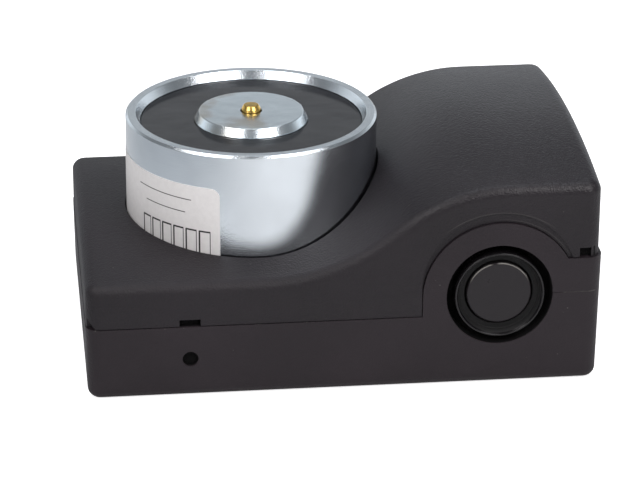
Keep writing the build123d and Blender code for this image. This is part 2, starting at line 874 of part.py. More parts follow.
def make_switch_leads():
    """The switch's two leads, from its tags down to the front of the board."""
    tag_y = -half_width + barrel_length + tag_reach + fit_gap
    land_y = board_front + switch_lead_y
    gap = land_y - tag_y
    leads = []
    for side, lead_x in zip((-1, 1), switch_lead_x):
        x = button_x + side * contact_offset
        land_x = board_left + lead_x
        points = [
            (x, tag_y, button_height),
            (x, tag_y + 0.38 * gap, button_height),
            ((x + land_x) / 2, tag_y + 0.75 * gap, button_height - lead_bow),
            (land_x, land_y, board_top + lead_bow),
            (land_x, land_y, board_top),
        ]
        leads.append(lead(points, lead_radius))
    return Compound(children=leads)


def make_cable_grommet():
    """Rubber grommet flush with the back, its groove on the floor of the base."""
    inner_face = floor_thickness + grommet_flange_height
    body = disc(entry_radius - fit_gap, 0, inner_face)
    body += disc(entry_radius + grommet_flange, 0, grommet_flange_height)
    body += disc(entry_radius + grommet_flange, floor_thickness, inner_face)
    return Pos(entry_x, entry_y, 0) * (body - disc(grommet_bore_radius, -1, inner_face + 1))


pieces = {
    "base_box": make_base_box,
    "cover": make_cover,
    "magnet_pot": make_magnet_pot,
    "centre_pole": make_centre_pole,
    "potting_resin": make_potting_resin,
    "coil_bobbin": make_coil_bobbin,
    "coil_winding": make_coil_winding,
    "ejector_pin": make_ejector_pin,
    "ejector_spring": make_ejector_spring,
    "pin_plug": make_pin_plug,
    "magnet_plate": make_magnet_plate,
    "pot_screws": make_pot_screws,
    "plate_screws": make_plate_screws,
    "pot_label": make_pot_label,
    "switch_body": make_switch_body,
    "switch_end": make_switch_end,
    "switch_washer": make_switch_washer,
    "switch_nut": make_switch_nut,
    "switch_contacts": make_switch_contacts,
    "button_cap": make_button_cap,
    "contact_bridge": make_contact_bridge,
    "button_spring": make_button_spring,
    "circuit_board": make_circuit_board,
    "board_screws": make_board_screws,
    "terminal_block": make_terminal_block,
    "terminal_clamps": make_terminal_clamps,
    "terminal_screws": make_terminal_screws,
    "surge_diode": make_surge_diode,
    "coil_leads": make_coil_leads,
    "switch_leads": make_switch_leads,
    "cable_grommet": make_cable_grommet,
}

os.makedirs("parts", exist_ok=True)
for name, make in pieces.items():
    export_step(make(), "parts/" + name + ".step")
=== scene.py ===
"""Door-holding electromagnet: camera, light, finishes and the fine visible pieces.

Everything is in metres in the part's own frame: the origin is the middle of the
flat back, +Z is the way the magnet faces and -Y is the button's side.
"""
import json
import math

import bpy
import numpy as np
from mathutils import Matrix


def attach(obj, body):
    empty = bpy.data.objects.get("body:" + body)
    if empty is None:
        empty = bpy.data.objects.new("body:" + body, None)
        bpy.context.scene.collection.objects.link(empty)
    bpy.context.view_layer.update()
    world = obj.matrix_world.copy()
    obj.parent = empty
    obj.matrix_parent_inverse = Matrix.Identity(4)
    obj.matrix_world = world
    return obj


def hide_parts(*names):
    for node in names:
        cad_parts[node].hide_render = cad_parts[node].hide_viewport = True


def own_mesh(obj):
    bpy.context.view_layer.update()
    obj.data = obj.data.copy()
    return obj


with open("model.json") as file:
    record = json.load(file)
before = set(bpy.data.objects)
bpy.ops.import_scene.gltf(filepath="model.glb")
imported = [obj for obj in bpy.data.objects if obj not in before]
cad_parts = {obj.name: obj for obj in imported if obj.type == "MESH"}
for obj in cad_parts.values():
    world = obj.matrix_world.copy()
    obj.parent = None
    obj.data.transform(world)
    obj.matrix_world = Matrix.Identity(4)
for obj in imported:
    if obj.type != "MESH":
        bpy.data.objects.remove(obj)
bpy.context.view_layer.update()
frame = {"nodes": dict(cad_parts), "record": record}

MM = 0.001

# Places and sizes of the part in millimetres, as its CAD nodes have them
MAGNET_X = -16.5
FACE_Z = 50.4
POT_RADIUS = 27.5
POT_CHAMFER = 0.5
POT_BORE = 24.3
POT_BOTTOM = 10.0
POT_INSIDE = 16.0
BEVEL_WIDTH = 1.0
BEVEL_DEPTH = 1.8
POLE_RADIUS = 12.4
SPIGOT_RADIUS = 6.0
PIN_RADIUS = 2.1
PIN_GUIDE = 2.4
PIN_REACH = 1.4
PIN_SHOULDER = 0.55
PIN_TIP = 1.62
COLLAR_Z = 42.4
COLLAR_HEIGHT = 2.0
COLLAR_RADIUS = 3.6
SPRING_BORE = 4.0
PLUG_TOP = 15.0
FIT_GAP = 0.05
RESIN_GAP = 0.08
RESIN_TOP = 48.4
RESIN_BOTTOM = 46.0
BUTTON_X = 33.1
BUTTON_Z = 21.0
WALL_Y = -38.25
SPLIT_Z = 16.45
GROOVE_RADIUS = 11.45
ARCH_RADIUS = 16.5
BEZEL_RADIUS = 9.7
BEZEL_DEPTH = 4.0
MOUTH_RADIUS = 8.6
MOUTH_DEPTH = 1.8
BARREL_RADIUS = 8.5
BARREL_LENGTH = 27.0
BARREL_BORE = 7.3
WEB_DEPTH = (13.0, 15.0)
WEB_BORE = 1.9
CAP_RADIUS = 7.0
CAP_DROP = 1.2
CAP_DEPTH = 5.8
CAP_WALL = 1.2
CAP_FACE = 1.6
STEM_RADIUS = 1.6
STEM_END = 17.4
STEM_TIP = (0.96, 19.2)
BUTTON_SPRING_ENDS = (18.12, 23.95)

# Coil radius, wire thickness and turns of the springs
EJECTOR_SPRING = (3.2, 0.8, 8)
BUTTON_SPRING = (2.15, 0.5, 4)

# The label's right edge, in degrees about the magnet's axis from -X towards -Y
LABEL_EDGE = 70.8


# Shader maths


class Value:
    """One number socket of a finish; its operators add Math nodes."""

    def __init__(self, finish, socket):
        self.finish = finish
        self.socket = socket

    def math(self, operation, *others):
        inputs = {0: self, **dict(enumerate(others, 1))}
        return self.finish.add("ShaderNodeMath", {"operation": operation}, inputs)

    def reflected(self, operation, other):
        return self.finish.add("ShaderNodeMath", {"operation": operation}, {0: other, 1: self})

    def __add__(self, other):
        return self.math("ADD", other)

    def __sub__(self, other):
        return self.math("SUBTRACT", other)

    def __mul__(self, other):
        return self.math("MULTIPLY", other)

    def __truediv__(self, other):
        return self.math("DIVIDE", other)

    def __pow__(self, other):
        return self.math("POWER", other)

    def __radd__(self, other):
        return self.reflected("ADD", other)

    def __rsub__(self, other):
        return self.reflected("SUBTRACT", other)

    def __rmul__(self, other):
        return self.reflected("MULTIPLY", other)

    def __rtruediv__(self, other):
        return self.reflected("DIVIDE", other)

    def __abs__(self):
        return self.math("ABSOLUTE")

    def high(self, other):
        """The higher of the two."""
        return self.math("MAXIMUM", other)

    def step(self, start, end):
        """A smooth rise from 0 at start to 1 at end."""
        settings = {"interpolation_type": "SMOOTHSTEP"}
        return self.finish.add("ShaderNodeMapRange", settings, {0: self, 1: start, 2: end})


class Finish:
    """A material with one Principled shader, whose sockets take values or links."""

    def __init__(self, name, **fixed):
        self.material = bpy.data.materials.new(name)
        self.material.use_nodes = True
        self.tree = self.material.node_tree
        self.shader = self.tree.nodes["Principled BSDF"]
        self.shade(**fixed)
        self.place = self.add("ShaderNodeTexCoord", out="Object")

    def set(self, node, inputs):
        """Gives a node's sockets their values or links."""
        for key, value in inputs.items():
            socket = node.inputs[key]
            if isinstance(value, Value):
                self.tree.links.new(value.socket, socket)
            elif isinstance(value, tuple) and socket.type == "RGBA":
                socket.default_value = (*value, 1.0)
            else:
                socket.default_value = value

    def add(self, kind, settings=None, inputs=None, out=0):
        """Adds a node: its settings first, then its sockets."""
        node = self.tree.nodes.new(kind)
        for key, value in (settings or {}).items():
            setattr(node, key, value)
        self.set(node, inputs or {})
        return Value(self, node.outputs[out])

    def shade(self, **links):
        """Feeds the shader's sockets."""
        self.set(self.shader, {key.replace("_", " "): value for key, value in links.items()})

    def noise(self, per_metre, detail=2.0, rough=0.5, at=None):
        """Noise between 0 and 1 at a scale in waves per metre."""
        inputs = {
            "Vector": at or self.place, "Scale": per_metre, "Detail": detail, "Roughness": rough,
        }
        return self.add("ShaderNodeTexNoise", None, inputs)

    def mix(self, factor, first, second):
        """A colour between two colours."""
        inputs = {0: factor, 6: first, 7: second}
        return self.add("ShaderNodeMix", {"data_type": "RGBA"}, inputs, out=2)

    def axes(self):
        """The three Object coordinates as values."""
        split = self.add("ShaderNodeSeparateXYZ", None, {0: self.place})
        return [Value(self, socket) for socket in split.socket.node.outputs]

    def point(self, x, y, z):
        """A place for a pattern, from three values."""
        return self.add("ShaderNodeCombineXYZ", None, {0: x, 1: y, 2: z})

    def bump(self, height, distance):
        """Normal from a height between 0 and 1 that stands for a distance in metres."""
        inputs = {"Height": height, "Distance": distance}
        return self.add("ShaderNodeBump", None, inputs)


def scaled(colour, factor):
    """A colour made lighter or darker."""
    return tuple(factor * channel for channel in colour)


def within(value, low, high, blur=0.1):
    """1 between two limits in millimetres, falling softly to 0 outside them."""
    low, high, blur = low * MM, high * MM, blur * MM
    return value.step(low - blur, low + blur) * (1.0 - value.step(high - blur, high + blur))


def beyond(value, low, high):
    """A smooth rise from 0 to 1 between two limits in millimetres."""
    return value.step(low * MM, high * MM)


def near_wall(y):
    """1 on the front wall's outer face, 0 behind it."""
    return 1.0 - beyond(y, WALL_Y + 0.5, WALL_Y + 0.9)


def from_button(x, z):
    """Distance from the button's axis, in metres."""
    return ((x - BUTTON_X * MM) ** 2.0 + (z - BUTTON_Z * MM) ** 2.0) ** 0.5


# The wall hole with the slot over it, and the notch at the right end, as (low, high) in X and Z, painted
# dark as shade behind the wall
HOLES_X, HOLES_Z = (-50.0, 10.0), (4.0, 20.0)
NOTCH_X, NOTCH_Z = (44.0, 53.5), (28.9, 31.2)
BEHIND_WALL = (WALL_Y + 0.75, WALL_Y + 6.0)


def wall_shade_and_highlights(finish, x, y, z):
    """Painted shade behind the front wall's openings and in the groove round the bezel, and painted
    highlights on pale lines.

    The pale lines are painted highlights: one along the mould line right of the button, one along
    the arch's edge on its right half and a faint one over the arch's crown.
    """
    away = from_button(x, z)
    # Painted shade: the wall hole, the notch and the groove round the bezel are darkened
    behind = within(y, *BEHIND_WALL)
    holes = behind * within(z, *HOLES_Z) * within(x, *HOLES_X)
    notch = behind * within(z, *NOTCH_Z) * within(x, *NOTCH_X)
    groove = within(y, WALL_Y + 0.55, WALL_Y + 6.0)
    groove = groove * (1.0 - beyond(away, GROOVE_RADIUS + 0.15, GROOVE_RADIUS + 0.35))
    # Painted highlights: pale lines along the mould line, the arch's right edge and over the arch's crown
    line = within(z, BUTTON_Z - 0.12, BUTTON_Z + 0.12, 0.04)
    line = line * beyond(x, BUTTON_X + 10.9, BUTTON_X + 11.4)
    mould_line_highlight = line * finish.noise(350.0, 2.0, 0.6).step(0.42, 0.62)
    edge = within(away, ARCH_RADIUS + 0.55, ARCH_RADIUS + 0.70, 0.06)
    edge = edge * beyond(z, BUTTON_Z + 7.5, BUTTON_Z + 11.5) * beyond(x, BUTTON_X - 2.1, BUTTON_X + 3.9)
    crown_highlight = within(away, ARCH_RADIUS + 2.2, ARCH_RADIUS + 2.4) * beyond(z, BUTTON_Z + 14.0, BUTTON_Z + 16.5)
    pale = (mould_line_highlight * 0.25).high(edge * 0.16).high(crown_highlight * 0.09)
    return holes.high(notch).high(groove), pale * near_wall(y)


def bezel_mouth_shade(finish, x, y, z):
    """The bezel's mouth is painted dark as shade beside the cap, and nothing on it is painted pale."""
    mouth = 1.0 - beyond(from_button(x, z), BEZEL_RADIUS - 0.65, BEZEL_RADIUS - 0.50)
    return mouth * beyond(y, WALL_Y + 0.3, WALL_Y + 0.6) * 0.75, 0.0


def cap_shade_and_highlights(finish, x, y, z):
    """Painted shade on the cap's side; painted highlights as two pale crescents on its top edge and as a
    pale spot for a small burr.
    """
    # Painted highlights: broken pale crescents along the cap's top edge
    edge = within(from_button(x, z), CAP_RADIUS - 0.34, CAP_RADIUS - 0.10, 0.06)
    edge = edge * beyond(z, BUTTON_Z + 2.0, BUTTON_Z + 4.5)
    crescents = edge * finish.noise(330.0, 2.0, 0.5).step(0.36, 0.52)
    # Painted shade on the cap's side inside the bezel
    side = beyond(y, WALL_Y + CAP_DROP + 0.4, WALL_Y + CAP_DROP + 0.7)
    # A pale spot painted as the highlight of a small burr
    burr = within(x, BUTTON_X + 5.70, BUTTON_X + 6.05) * within(z, BUTTON_Z + 3.5, BUTTON_Z + 4.3, 0.12)
    return side, (crescents * 0.8).high(burr * 0.7) * (1.0 - side)


# Pale colour of real dust, also used for the painted highlights
DUST_AND_HIGHLIGHT_COLOUR = (0.24, 0.23, 0.21)
GRAIN_DEPTH = 0.00013
DECK_TO_HUMP = (34.0, 49.0)


def moulded_plastic(name, colour, roughness, grain=1.0, gloss=0.25, marks=wall_shade_and_highlights, dull=0.0):
    """Spark-eroded black moulding: fine grain, flow patches and a few pale specks of dust.

    marks gives the places painted dark as shade and those painted pale as highlights. Dust has also
    settled along the parting line. dull is what the low deck has more in roughness.
    """
    finish = Finish(name, Specular_IOR_Level=gloss)
    x, y, z = finish.axes()
    dark, pale = marks(finish, x, y, z)
    fine = finish.noise(2500.0, 1.0, 0.6)
    coarse = finish.noise(1100.0, 2.0, 0.5)
    patches = finish.noise(45.0, 3.0, 0.55)
    seam = within(z, SPLIT_Z - 0.25, SPLIT_Z + 0.15) * near_wall(y)
    seam_dust = finish.noise(1500.0).step(0.70, 0.74) * seam
    dust = finish.noise(900.0, 1.0, 0.5).step(0.80, 0.84).high(seam_dust)
    matte = roughness + dull * (1.0 - beyond(z, *DECK_TO_HUMP))
    body = finish.mix(patches.step(0.3, 0.75), colour, scaled(colour, 1.25))
    # Real dust and the painted highlights both take the pale colour
    body = finish.mix((dust * 0.3).high(pale), body, DUST_AND_HIGHLIGHT_COLOUR)
    # Painted shade: the dark places take a far darker colour
    finish.shade(
        Base_Color=finish.mix(dark, body, scaled(colour, 0.08)),
        Roughness=(matte + 0.12 * (patches - 0.5) + 0.10 * (coarse - 0.5)).high(dark),
        Normal=finish.bump(fine * 0.65 + coarse * 0.35, GRAIN_DEPTH * grain),
    )
    return finish.material


RING_DEPTH = 0.000008
SWELL_DEPTH = 0.00003
STAIN_COLOUR = (0.60, 0.55, 0.47)


def turned_steel(name, colour, roughness, peel_depth, stain=0.0):
    """Turned steel under bright zinc: rings about the magnet's axis and an orange peel.

    stain is the strength of its warm patches, which gather on the side away from the switch.
    """
    finish = Finish(name, Metallic=1.0)
    x, y, z = finish.axes()
    radial = ((x - MAGNET_X * MM) ** 2.0 + y ** 2.0) ** 0.5
    rings = finish.noise(2600.0, 2.0, 0.6, at=finish.point(radial, z, x * 0.02))
    peel = finish.noise(4800.0, 1.0, 0.6)
    swell = finish.noise(300.0, 2.0, 0.5)
    cloud = finish.noise(70.0, 3.0, 0.5)
    base = finish.mix(cloud.step(0.35, 0.7) * 0.7, colour, scaled(colour, 0.86))
    if stain:
        patch = finish.noise(110.0, 2.0, 0.5) + 0.2 * (MAGNET_X * MM - x) / (POLE_RADIUS * MM)
        base = finish.mix(patch.step(0.5, 0.75) * stain, base, STAIN_COLOUR)
    height = peel * peel_depth + rings * RING_DEPTH + swell * SWELL_DEPTH
    finish.shade(
        Base_Color=base,
        Roughness=roughness + 0.10 * (cloud - 0.5) + 0.05 * (rings - 0.5),
        Normal=finish.bump(height, 1.0),
    )
    return finish.material


def plain_metal(name, colour, roughness):
    """Small metal parts with a slightly uneven surface."""
    finish = Finish(name, Metallic=1.0)
    cloud = finish.noise(900.0, 3.0, 0.6)
    finish.shade(
        Base_Color=finish.mix(cloud.step(0.3, 0.8), colour, scaled(colour, 0.75)),
        Roughness=roughness + 0.15 * (cloud - 0.5),
        Normal=finish.bump(cloud, 0.00002),
    )
    return finish.material


def soft_part(name, colour, roughness, gloss=0.4):
    """Insulation, rubber, nylon and small mouldings."""
    finish = Finish(name, Specular_IOR_Level=gloss)
    cloud = finish.noise(400.0, 3.0, 0.6)
    finish.shade(
        Base_Color=finish.mix(cloud.step(0.3, 0.8), colour, scaled(colour, 0.75)),
        Roughness=roughness + 0.12 * (cloud - 0.5),
        Normal=finish.bump(finish.noise(3000.0), 0.00001),
    )
    return finish.material


RESIN_DARK = (0.012, 0.012, 0.014)
RESIN_LIGHT = (0.018, 0.018, 0.020)
RESIN_DUST = (0.16, 0.16, 0.17)


def cast_resin(name):
    """Poured potting resin: level, dark and satin, with slow swells and dust."""
    finish = Finish(name, Specular_IOR_Level=0.5)
    swell = finish.noise(150.0, 2.0, 0.5)
    fine = finish.noise(2500.0, 2.0, 0.5)
    dust = finish.noise(1300.0, 1.0, 0.5).step(0.78, 0.82)
    body = finish.mix(swell.step(0.3, 0.7), RESIN_DARK, RESIN_LIGHT)
    finish.shade(
        Base_Color=finish.mix(dust * 0.4, body, RESIN_DUST),
        Roughness=0.10 + 0.06 * (swell - 0.5),
        Normal=finish.bump(fine * 0.000012 + swell * 0.00006, 1.0),
    )
    return finish.material


BOX_PITCH = 3.2
BOX_WIDTH = 2.55
BOX_FROM_EDGE = 2.1
BOX_COUNT = 6
BOX_TOP = 32.5
RULE_HALF = 0.19
STOCK_DARK = (0.74, 0.72, 0.71)
STOCK_LIGHT = (0.79, 0.77, 0.76)
INK = (0.022, 0.020, 0.022)

# The write-on rules: height, start, end and half width
LOWER_RULE = (36.3, 8.0, 19.5, 0.10)
UPPER_RULE = (39.3, 6.5, 22.0, 0.10)


def printed_label(name):
    """Warm white label stock with a row of empty ruled boxes and two blank write-on rules.

    s is the way round the pot from the label's right edge and z the height, both in
    millimetres; a rule is dark where the distance to its line is under its half width.
    """
    finish = Finish(name, Specular_IOR_Level=0.35, Roughness=0.45)
    x, y, z = finish.axes()
    angle = (y * -1.0).math("ARCTAN2", (x - MAGNET_X * MM) * -1.0)
    s = (math.radians(LABEL_EDGE) - angle) * POT_RADIUS
    z = z / MM
    along = (s - BOX_FROM_EDGE) / BOX_PITCH
    cell = along.math("FRACT") * BOX_PITCH
    inside_row = along.step(-0.001, 0.0) * (1.0 - along.step(BOX_COUNT - 0.001, BOX_COUNT))
    from_side = abs(abs(cell - BOX_WIDTH / 2) - BOX_WIDTH / 2)
    sides = 1.0 - from_side.step(RULE_HALF - 0.04, RULE_HALF + 0.04)
    below = 1.0 - z.step(BOX_TOP - 0.02, BOX_TOP + 0.02 + RULE_HALF)
    tops = 1.0 - abs(z - BOX_TOP).step(RULE_HALF - 0.04, RULE_HALF + 0.04)
    in_cell = 1.0 - cell.step(BOX_WIDTH, BOX_WIDTH + 0.1)
    boxes = (sides * below).high(tops * in_cell) * inside_row

    def rule(height, start, end, half):
        across = 1.0 - abs(z - height).step(half - 0.03, half + 0.03)
        return across * s.step(start, start + 0.1) * (1.0 - s.step(end, end + 0.1))

    printed = boxes.high(rule(*LOWER_RULE)).high(rule(*UPPER_RULE))
    fibre = finish.noise(900.0, 3.0, 0.6)
    stock = finish.mix(fibre.step(0.2, 0.8), STOCK_DARK, STOCK_LIGHT)
    finish.shade(
        Base_Color=finish.mix(printed, stock, INK),
        Normal=finish.bump(fibre, 0.00001),
    )
    return finish.material


FINISHES = {
    # The base gets a lighter colour than the cover as painted light, for the light its front walls lack
    "housing_plastic": moulded_plastic("moulded base", (0.0182, 0.0140, 0.0168), 0.46),
    "cover_plastic": moulded_plastic(
        "moulded cover", (0.0122, 0.0097, 0.0120), 0.32, 1.5, 0.33, dull=0.22,
    ),
    "zinc_steel": turned_steel("zinc plated steel", (0.78, 0.83, 0.87), 0.17, 0.000034),
    "pole_steel": turned_steel("faced pole steel", (0.87, 0.95, 1.0), 0.20, 0.000015, stain=0.7),
    "resin_black": cast_resin("cast resin"),
    "bobbin_nylon": soft_part("natural nylon", (0.75, 0.72, 0.62), 0.5),
    "winding_copper": plain_metal("enamelled copper", (0.72, 0.35, 0.18), 0.35),
    "spring_steel": plain_metal("spring wire", (0.55, 0.55, 0.56), 0.30),
    "screw_steel": plain_metal("screw steel", (0.66, 0.66, 0.64), 0.32),
    "label_paper": printed_label("printed label"),
    "switch_plastic": moulded_plastic(
        "switch moulding", (0.0050, 0.0044, 0.0050), 0.24, 0.15, 0.4, bezel_mouth_shade,
    ),
    "button_plastic": moulded_plastic(
        "cap moulding", (0.0108, 0.0086, 0.0104), 0.30, 0.2, 0.33, cap_shade_and_highlights,
    ),
    "contact_brass": plain_metal("contact brass", (0.80, 0.62, 0.32), 0.3),
    "board_green": soft_part("solder resist", (0.05, 0.22, 0.10), 0.3),
    "terminal_plastic": soft_part("terminal moulding", (0.10, 0.28, 0.16), 0.4),
    "lead_red": soft_part("red insulation", (0.55, 0.04, 0.03), 0.45),
    "lead_black": soft_part("black insulation", (0.03, 0.03, 0.03), 0.45),
    "pin_brass": plain_metal("turned brass", (0.80, 0.52, 0.14), 0.24),
    "grommet_rubber": soft_part("black rubber", (0.03, 0.03, 0.03), 0.7, 0.25),
}

for part in frame["record"]["subparts"]:
    mesh = frame["nodes"][part["node"]].data
    mesh.materials.clear()
    mesh.materials.append(FINISHES[part["material_slot"]])


# Turned and wound pieces


def rounded(corners, steps=6):
    """A closed profile whose corners are arcs, and the outward normal at each point.

    corners are (radius, height, rounding). An arc of rounding q at a corner between
    unit outward normals a and b has its points at c + q n, where n turns evenly from
    a to b and c = corner - q (a + b) / (1 + a.b); in a hollow corner q is negative.
    """
    corners = np.array(corners, float)
    place, rounding = corners[:, :2], corners[:, 2]
    run = np.roll(place, -1, axis=0) - place
    run /= np.linalg.norm(run, axis=1, keepdims=True)
    after = np.column_stack((run[:, 1], -run[:, 0]))
    before = np.roll(after, 1, axis=0)
    cosine = np.clip(np.sum(before * after, axis=1), -0.999, 0.99999)
    turn = np.arccos(cosine)
    bend = np.sign(before[:, 0] * after[:, 1] - before[:, 1] * after[:, 0]) * rounding
    centre = place - bend[:, None] * (before + after) / (1.0 + cosine)[:, None]
    share = np.linspace(0.0, 1.0, steps + 1)[None, :, None]
    turn = turn[:, None, None]
    normal = np.sin((1.0 - share) * turn) * before[:, None] + np.sin(share * turn) * after[:, None]
    normal /= np.sin(turn)
    points = centre[:, None] + bend[:, None, None] * normal
    return points, normal


def surface(name, rows, normals, node, material, body, capped=False):
    """A mesh from a grid of points, put on its body in place of its CAD node.

    rows is (around, along, 3) and closes around. Along, it closes on itself too, or, if
    capped, its first and last points lie on the axis and are one point each. Each quad
    joins neighbours i, i+1 around and j, j+1 along; beside an axis point it is a triangle.
    """
    around, along = rows.shape[:2]
    if capped:
        inner = np.arange(around * (along - 2)).reshape(around, along - 2)
        ends = inner.size + np.zeros((around, 1), int)
        index = np.hstack((ends, inner, ends + 1))
        points, directions = (
            np.vstack((grid[:, 1:-1].reshape(-1, 3), grid[0, [0, -1]])) for grid in (rows, normals)
        )
    else:
        index = np.arange(around * along).reshape(around, along)
        index = np.hstack((index, index[:, :1]))
        points, directions = rows.reshape(-1, 3), normals.reshape(-1, 3)
    following = np.roll(index, -1, axis=0)
    quads = np.stack((index[:, :-1], following[:, :-1], following[:, 1:], index[:, 1:]), -1)
    faces = [list(dict.fromkeys(quad)) for quad in quads.reshape(-1, 4).tolist()]
    mesh = bpy.data.meshes.new(name)
    mesh.from_pydata((points * MM).tolist(), [], faces)
    mesh.polygons.foreach_set("use_smooth", np.ones(len(faces), bool))
    mesh.normals_split_custom_set_from_vertices(directions.tolist())
    mesh.materials.append(material)
    piece = bpy.data.objects.new(name, mesh)
    bpy.context.scene.collection.objects.link(piece)
    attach(piece, body)
    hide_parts(node)
    return piece


def turned(name, corners, axis, node, slot, body="housing", around=256, steps=6):
    """A piece turned about an axis: point = origin + r (u cos t + v sin t) + h w.

    The profile closes on itself, or runs from axis to axis where it starts at radius 0.
    """
    origin, u, v, w = (np.array(vector, float) for vector in axis)
    profile, slope = rounded(corners, steps)
    capped = corners[0][0] == 0
    if capped:
        profile = np.vstack((profile[0, :1], profile[1:-1].reshape(-1, 2), profile[-1, :1]))
        slope = np.vstack(((0.0, -1.0), slope[1:-1].reshape(-1, 2), (0.0, 1.0)))
    profile, slope = profile.reshape(-1, 2), slope.reshape(-1, 2)
    t = np.linspace(0.0, 2.0 * np.pi, around, endpoint=False)
    out = np.cos(t)[:, None] * u + np.sin(t)[:, None] * v
    rows = origin + profile[None, :, :1] * out[:, None] + profile[None, :, 1:] * w
    normals = slope[None, :, :1] * out[:, None] + slope[None, :, 1:] * w
    surface(name, rows, normals, node, FINISHES[slot], body, capped)


MAGNET_AXIS = ((MAGNET_X, 0, 0), (1, 0, 0), (0, 1, 0), (0, 0, 1))
SWITCH_AXIS = ((BUTTON_X, WALL_Y, BUTTON_Z), (1, 0, 0), (0, 0, -1), (0, 1, 0))
CRISP = 0.12

turned(
    "turned_pot",
    [
        (SPIGOT_RADIUS + FIT_GAP, POT_BOTTOM, 0.1),
        (POT_RADIUS - POT_CHAMFER, POT_BOTTOM, CRISP),
        (POT_RADIUS, POT_BOTTOM + POT_CHAMFER, CRISP),
        (POT_RADIUS, FACE_Z - POT_CHAMFER, CRISP),
        (POT_RADIUS - POT_CHAMFER, FACE_Z, CRISP),
        (POT_BORE + BEVEL_WIDTH, FACE_Z, CRISP),
        (POT_BORE, FACE_Z - BEVEL_DEPTH, CRISP),
        (POT_BORE, POT_INSIDE, 0.3),
        (SPIGOT_RADIUS + FIT_GAP, POT_INSIDE, 0.1),
    ],
    MAGNET_AXIS, "magnet_pot", "zinc_steel",
)
turned(
    "turned_pole",
    [
        (SPRING_BORE, POT_BOTTOM, 0.1),
        (SPIGOT_RADIUS, POT_BOTTOM, 0.1),
        (SPIGOT_RADIUS, POT_INSIDE, 0.1),
        (POLE_RADIUS, POT_INSIDE, 0.1),
        (POLE_RADIUS, FACE_Z - BEVEL_DEPTH, 0.2),
        (POLE_RADIUS - BEVEL_WIDTH, FACE_Z, 0.2),
        (PIN_GUIDE, FACE_Z, 0.1),
        (PIN_GUIDE, COLLAR_Z, 0.1),
        (SPRING_BORE, COLLAR_Z, 0.1),
    ],
    MAGNET_AXIS, "centre_pole", "pole_steel",
)
turned(
    "poured_resin",
    [
        (POLE_RADIUS + RESIN_GAP, RESIN_BOTTOM, 0.1),
        (POT_BORE - RESIN_GAP, RESIN_BOTTOM, 0.1),
        (POT_BORE - RESIN_GAP, RESIN_TOP, 0.3),
        (POLE_RADIUS + RESIN_GAP, RESIN_TOP, 0.2),
    ],
    MAGNET_AXIS, "potting_resin", "resin_black",
)
turned(
    "turned_pin",
    [
        (0.0, COLLAR_Z - COLLAR_HEIGHT, 0.0),
        (COLLAR_RADIUS, COLLAR_Z - COLLAR_HEIGHT, 0.1),
        (COLLAR_RADIUS, COLLAR_Z, 0.1),
        (PIN_RADIUS, COLLAR_Z, 0.05),
        (PIN_RADIUS, FACE_Z + PIN_SHOULDER, 0.25),
        (PIN_TIP, FACE_Z + PIN_REACH - 0.04, 0.3),
        (0.0, FACE_Z + PIN_REACH, 0.0),
    ],
    MAGNET_AXIS, "ejector_pin", "pin_brass", body="ejector", around=96,
)
# The bezel has a thin crest, from which its front slopes inwards to the mouth
turned(
    "bezel_and_barrel",
    [
        (MOUTH_RADIUS, 1.10, 0.20),
        (BEZEL_RADIUS - 0.45, 0.0, 0.14),
        (BEZEL_RADIUS - 0.15, 0.0, 0.14),
        (BEZEL_RADIUS, 0.35, 0.15),
        (BEZEL_RADIUS, BEZEL_DEPTH, 0.1),
        (BARREL_RADIUS, BEZEL_DEPTH, 0.1),
        (BARREL_RADIUS, BARREL_LENGTH, 0.1),
        (BARREL_BORE, BARREL_LENGTH, 0.1),
        (BARREL_BORE, WEB_DEPTH[1], 0.1),
        (WEB_BORE, WEB_DEPTH[1], 0.1),
        (WEB_BORE, WEB_DEPTH[0], 0.1),
        (BARREL_BORE, WEB_DEPTH[0], 0.1),
        (BARREL_BORE, MOUTH_DEPTH, 0.3),
        (MOUTH_RADIUS, MOUTH_DEPTH, 0.3),
    ],
    SWITCH_AXIS, "switch_body", "switch_plastic",
)
turned(
    "turned_cap",
    [
        (0.0, CAP_DROP, 0.0),
        (CAP_RADIUS, CAP_DROP, 0.45),
        (CAP_RADIUS, CAP_DROP + CAP_DEPTH, 0.2),
        (CAP_RADIUS - CAP_WALL, CAP_DROP + CAP_DEPTH, 0.2),
        (CAP_RADIUS - CAP_WALL, CAP_DROP + CAP_FACE, 0.3),
        (STEM_RADIUS, CAP_DROP + CAP_FACE, 0.3),
        (STEM_RADIUS, STEM_END, 0.1),
        (STEM_TIP[0], STEM_END, 0.05),
        (STEM_TIP[0], STEM_TIP[1], 0.1),
        (0.0, STEM_TIP[1], 0.0),
    ],
    SWITCH_AXIS, "button_cap", "button_plastic", body="button",
)


WIRE_SIDES = 12
STEPS_A_TURN = 32


